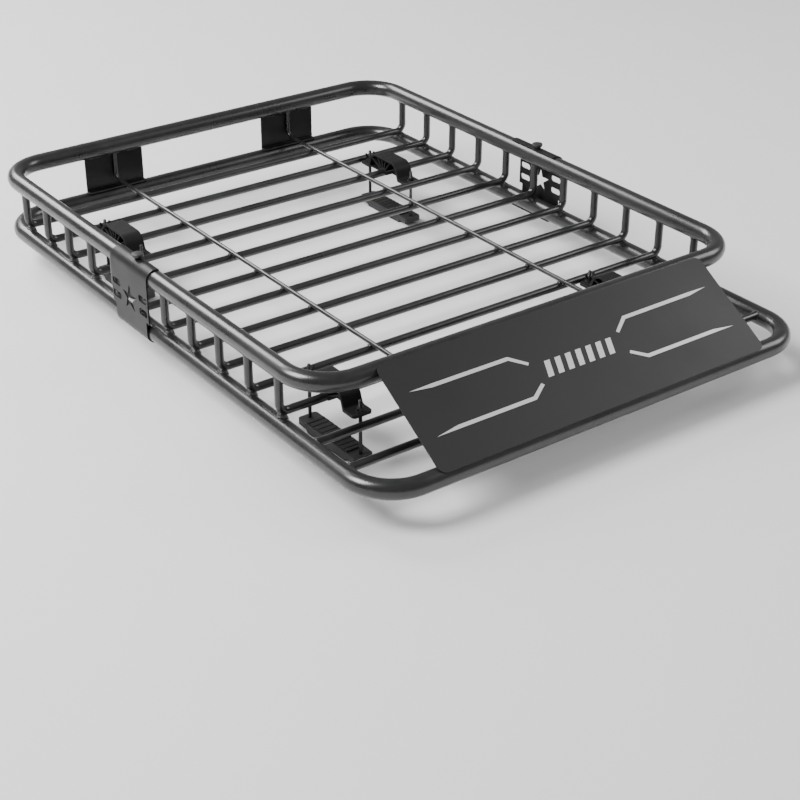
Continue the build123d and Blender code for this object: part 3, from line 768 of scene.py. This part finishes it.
def add_thread(shape, x, y, start, end):
    """A helical thread that narrows to a lead-in at its upper end."""
    rows = []
    count = int((end - start) / (THREAD_PITCH / ROWS_PER_TURN))
    for i in range(count + 1):
        z = start + (end - start) * i / count
        lead_in = min(1.0, max(0.0, (end - z) / LEAD_IN))
        ring = []
        for j in range(THREAD_FACES):
            turn = (z / THREAD_PITCH - j / THREAD_FACES) % 1
            depth = THREAD_DEPTH * abs(2 * turn - 1)
            reach = (STUD_R - depth) * (TIP_SCALE + (1 - TIP_SCALE) * lead_in)
            angle = 2 * math.pi * j / THREAD_FACES
            ring.append(shape.verts.new((x + reach * math.cos(angle), y + reach * math.sin(angle), z)))
        rows.append(ring)
    join_rings(shape, rows)
    shape.faces.new(rows[-1])


def add_hex_head(shape, x, y, z):
    """A hex head with the chamfered rim that turning leaves."""
    rings = []
    for level, scale, roundness in HEAD_RINGS:
        ring = []
        for i in range(HEAD_FACES):
            angle = 2 * math.pi * i / HEAD_FACES
            hexagon = math.cos(math.pi / 6) / math.cos((angle % (math.pi / 3)) - math.pi / 6)
            radius = HEAD_REACH * scale * (hexagon * (1 - roundness) + roundness * ROUND_REACH)
            corner = (x + radius * math.cos(angle), y + radius * math.sin(angle), z + HEAD_HEIGHT * level)
            ring.append(shape.verts.new(corner))
        rings.append(ring)
    join_rings(shape, rings)
    shape.faces.new(rings[0])
    shape.faces.new(rings[-1])


for place in CLAMPS:
    make_shell(f"{place}_saddle", "basket", 0.7 * MM, nylon, "moulded_plastic")
    make_shell(f"{place}_jaw", f"{place}_jaw", 0.8 * MM, cast_jaw, "jaw_metal")
    make_shell(f"{place}_jaw_pad", f"{place}_jaw", 0.4 * MM, pad_rubber, "pad_rubber")
    make_shell(f"{place}_wing_nut", f"{place}_wing_nut", 0.5 * MM, black_zinc, "black_fastener")
    make_shell(f"{place}_hex_nut", f"{place}_hex_nut", 0.4 * MM, black_zinc, "black_fastener")
    make_threaded_bolts(place)


# ---------------------------------------------------------------- floor, light and camera

def make_floor():
    """A wide pale floor with a faint variation in its sheen."""
    half = 14.0
    mesh = bpy.data.meshes.new("studio_floor")
    corners = [(-half, -half, 0), (half, -half, 0), (half, half, 0), (-half, half, 0)]
    mesh.from_pydata(corners, [], [(0, 1, 2, 3)])
    floor = add_object("studio_floor", mesh)
    ground = Surface("pale_floor", Specular_IOR_Level=0.2)
    ground.set_colour(ground.noise(3, 3), (0.80, 0.80, 0.80), (0.83, 0.83, 0.83))
    ground.set_roughness(ground.noise(20, 3), 0.7, 0.85)
    mesh.materials.append(ground.material)


def add_area_light(name, place, target, size, power):
    """A soft square light aimed at a point."""
    light = bpy.data.lights.new(name, "AREA")
    light.shape = "SQUARE"
    light.size = size
    light.energy = power
    lamp = bpy.data.objects.new(name, light)
    lamp.location = place
    lamp.rotation_euler = (Vector(target) - Vector(place)).to_track_quat("-Z", "Y").to_euler()
    bpy.context.scene.collection.objects.link(lamp)


def make_lights():
    """A pale sky, a key from the left and above, a light behind that draws out the tubes, and a fill."""
    world = bpy.data.worlds.new("studio_sky")
    world.use_nodes = True
    sky = world.node_tree.nodes["Background"]
    sky.inputs["Color"].default_value = (1.0, 1.0, 1.0, 1)
    sky.inputs["Strength"].default_value = 0.32
    bpy.context.scene.world = world
    middle = (0, 0, 0.1)
    add_area_light("key", (-2.8, 0.8, 3.4), middle, size=2.0, power=300)
    add_area_light("behind", (-0.6, 4.0, 3.0), middle, size=2.2, power=190)
    add_area_light("fill", (3.2, -1.4, 2.4), middle, size=1.8, power=55)


def make_camera():
    """A long-lens view from the front left, turned a quarter of a degree about its own axis."""
    place = Vector((-1.5898, -2.2284, 1.3549))
    target = Vector((-0.26387, -0.42787, 0.09))
    roll = math.radians(0.25)
    forward = (target - place).normalized()
    right = forward.cross(Z_AXIS).normalized()
    up = right.cross(forward)
    tilted_right = right * math.cos(roll) + up * math.sin(roll)
    tilted_up = up * math.cos(roll) - right * math.sin(roll)
    turn = Matrix((tilted_right, tilted_up, -forward)).transposed()
    lens = bpy.data.cameras.new("photo_view")
    lens.sensor_width = 36.0
    lens.lens = 75.5
    lens.clip_start = 0.05
    lens.clip_end = 60.0
    camera = bpy.data.objects.new("photo_view", lens)
    camera.matrix_world = Matrix.Translation(place) @ turn.to_4x4()
    bpy.context.scene.collection.objects.link(camera)
    bpy.context.scene.camera = camera


make_floor()
make_lights()
make_camera()
